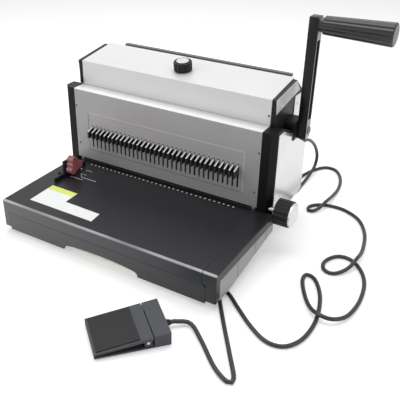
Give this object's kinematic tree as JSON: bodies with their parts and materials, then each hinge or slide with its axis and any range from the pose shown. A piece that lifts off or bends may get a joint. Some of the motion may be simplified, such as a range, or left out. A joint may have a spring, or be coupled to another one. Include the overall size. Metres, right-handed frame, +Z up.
{
  "type": "binding machine",
  "caption": "Desk binding machine: powered hole punch behind a slotted panel, hand lever that closes the wires, chip drawer and a foot pedal on a cord.",
  "frame": {"origin": "on the desk, under the middle of the box of the machine and its pedal, without the free cord", "axes": "+X to the operator's right, where the lever is; +Y to the rear; +Z up"},
  "size_m": [0.5661, 0.6575, 0.3505],
  "materials": {
    "panel_grey": "satin",
    "top_silver": "satin",
    "brushed_steel": "brushed",
    "moulded_black": "fine grain",
    "base_black": "satin",
    "side_grey": "satin",
    "lever_black": "satin",
    "steel": "ground",
    "tool_steel": "ground",
    "motor_case": "satin",
    "zinc_plate": "zinc plated",
    "hook_grey": "satin",
    "nut_bronze": "machined",
    "rubber": "matt",
    "clamp_red": "gloss",
    "pedal_black": "satin",
    "cord_black": "satin"
  },
  "bodies": {
    "chassis": {"base_cover": "base_black", "base_side_plate_left": "side_grey", "base_side_plate_right": "side_grey", "base_pan": "zinc_plate", "foot_front_left": "rubber", "foot_front_right": "rubber", "foot_rear_left": "rubber", "foot_rear_right": "rubber", "side_frame_left": "zinc_plate", "side_frame_right": "zinc_plate", "end_cover_left": "moulded_black", "end_cover_right": "moulded_black", "side_sheet_left": "brushed_steel", "side_sheet_right": "brushed_steel", "upper_end_left": "moulded_black", "upper_end_right": "moulded_black", "rear_rail": "zinc_plate", "front_panel": "panel_grey", "upper_panel": "top_silver", "die_plate": "tool_steel", "stripper_plate": "tool_steel", "motor": "motor_case", "motor_bracket": "zinc_plate", "lever_boss": "moulded_black", "rear_cover": "moulded_black", "closing_anvil": "tool_steel", "power_inlet": "moulded_black", "switch_frame": "moulded_black", "nut_guide": "zinc_plate", "guide_bracket": "moulded_black", "pedal_base": "pedal_black", "pedal_pin": "steel", "pedal_gland": "rubber", "strain_relief": "rubber", "pedal_cord": "cord_black"},
    "lever": {"lever_shaft": "steel", "lever_arm": "lever_black", "grip": "moulded_black"},
    "carriage": {"hook_comb": "hook_grey", "carriage_arm_left": "zinc_plate", "carriage_arm_right": "zinc_plate", "press_bar": "tool_steel"},
    "size_knob": {"size_knob": "moulded_black", "size_knob_cap": "brushed_steel"},
    "size_nut": {"size_nut": "nut_bronze"},
    "drawer": {"chip_tray": "zinc_plate", "tray_front": "base_black"},
    "margin_knob": {"margin_knob": "moulded_black", "margin_knob_cap": "brushed_steel", "margin_shaft": "steel"},
    "margin_stop": {"margin_stop": "steel"},
    "side_guide": {"side_guide": "moulded_black"},
    "clamp": {"clamp_knob": "clamp_red"},
    "punch": {"punch_beam": "tool_steel"},
    "drive": {"drive_shaft": "steel", "drive_gear": "steel"},
    "motor_shaft": {"motor_pinion": "steel"},
    "tread": {"pedal_tread": "pedal_black", "pedal_pad": "rubber"},
    "rocker": {"switch_rocker": "moulded_black"}
  },
  "joints": [
    {"name": "lever_turn", "type": "hinge", "parent": "chassis", "child": "lever", "pos_m": [-0.0607, 0.17476, 0.173], "axis": [1, 0, 0], "range_deg": [0, 80.1]},
    {"name": "carriage_slide", "type": "slide", "parent": "chassis", "child": "carriage", "axis": [0, 0, -1], "range_m": [0, 0.019]},
    {"name": "size_turn", "type": "hinge", "parent": "chassis", "child": "size_knob", "pos_m": [-0.0572, 0.15576, 0.236], "axis": [0, -0.1288, 0.9917], "range_deg": [-135.1, 135.1]},
    {"name": "size_nut_slide", "type": "slide", "parent": "chassis", "child": "size_nut", "axis": [0, -0.1288, 0.9917], "range_m": [-0.0015, 0.0015]},
    {"name": "drawer_slide", "type": "slide", "parent": "chassis", "child": "drawer", "axis": [0, -1, 0], "range_m": [0, 0.035]},
    {"name": "margin_turn", "type": "hinge", "parent": "chassis", "child": "margin_knob", "pos_m": [0.1458, 0.10176, 0.064], "axis": [1, 0, 0], "range_deg": [0, 66]},
    {"name": "margin_slide", "type": "slide", "parent": "chassis", "child": "margin_stop", "axis": [0, -1, 0], "range_m": [0, 0.00478]},
    {"name": "guide_slide", "type": "slide", "parent": "chassis", "child": "side_guide", "axis": [0, 1, 0], "range_m": [-0.006, 0.006]},
    {"name": "clamp_turn", "type": "hinge", "parent": "side_guide", "child": "clamp", "pos_m": [-0.2082, 0.03926, 0.0774], "axis": [1, 0, 0], "range_deg": [-60, 60]},
    {"name": "punch_slide", "type": "slide", "parent": "chassis", "child": "punch", "axis": [0, 0, -1], "range_m": [0, 0.009]},
    {"name": "drive_turn", "type": "hinge", "parent": "chassis", "child": "drive", "pos_m": [-0.0607, 0.14576, 0.112], "axis": [1, 0, 0], "continuous": true},
    {"name": "motor_turn", "type": "hinge", "parent": "chassis", "child": "motor_shaft", "pos_m": [-0.0357, 0.17729, 0.09033], "axis": [1, 0, 0], "continuous": true},
    {"name": "tread_press", "type": "hinge", "parent": "chassis", "child": "tread", "pos_m": [0.08162, -0.17645, 0.0105], "axis": [0.7431, -0.6691, 0], "range_deg": [0, 1.5], "stiffness_Nm_per_rad": 20, "springref_deg": -1.15},
    {"name": "rocker_tilt", "type": "hinge", "parent": "chassis", "child": "rocker", "pos_m": [-0.1557, 0.22156, 0.07], "axis": [-1, 0, 0], "range_deg": [0, 8]}
  ],
  "couplings": [
    {"joint": "lever_turn", "follows": "carriage_slide", "rad_per_m": 73.529},
    {"joint": "size_turn", "follows": "size_nut_slide", "rad_per_m": -1570.8},
    {"joint": "margin_turn", "follows": "margin_slide", "rad_per_m": 240.96},
    {"joint": "motor_turn", "follows": "drive_turn", "ratio": -3.6364}
  ]
}
